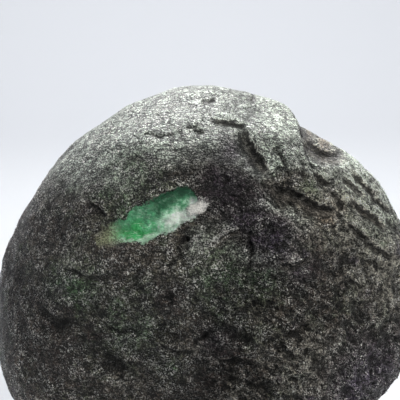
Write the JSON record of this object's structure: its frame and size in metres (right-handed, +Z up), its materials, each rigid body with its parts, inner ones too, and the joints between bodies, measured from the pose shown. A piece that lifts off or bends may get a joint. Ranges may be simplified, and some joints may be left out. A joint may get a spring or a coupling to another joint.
{
  "type": "raw jade boulder",
  "caption": "Rounded natural stone with one broken stepped shoulder, a flat worn foot to stand on and a small lens-shaped green window in its front.",
  "frame": {"origin": "on the ground, under the middle of the stone's box", "axes": "+Z up, -Y the side with the green window, +X to the right when looking at that side"},
  "size_m": [0.15, 0.104, 0.138],
  "materials": {
    "jade_stone": "matte"
  },
  "bodies": {
    "root": {"boulder": "jade_stone"}
  },
  "joints": []
}
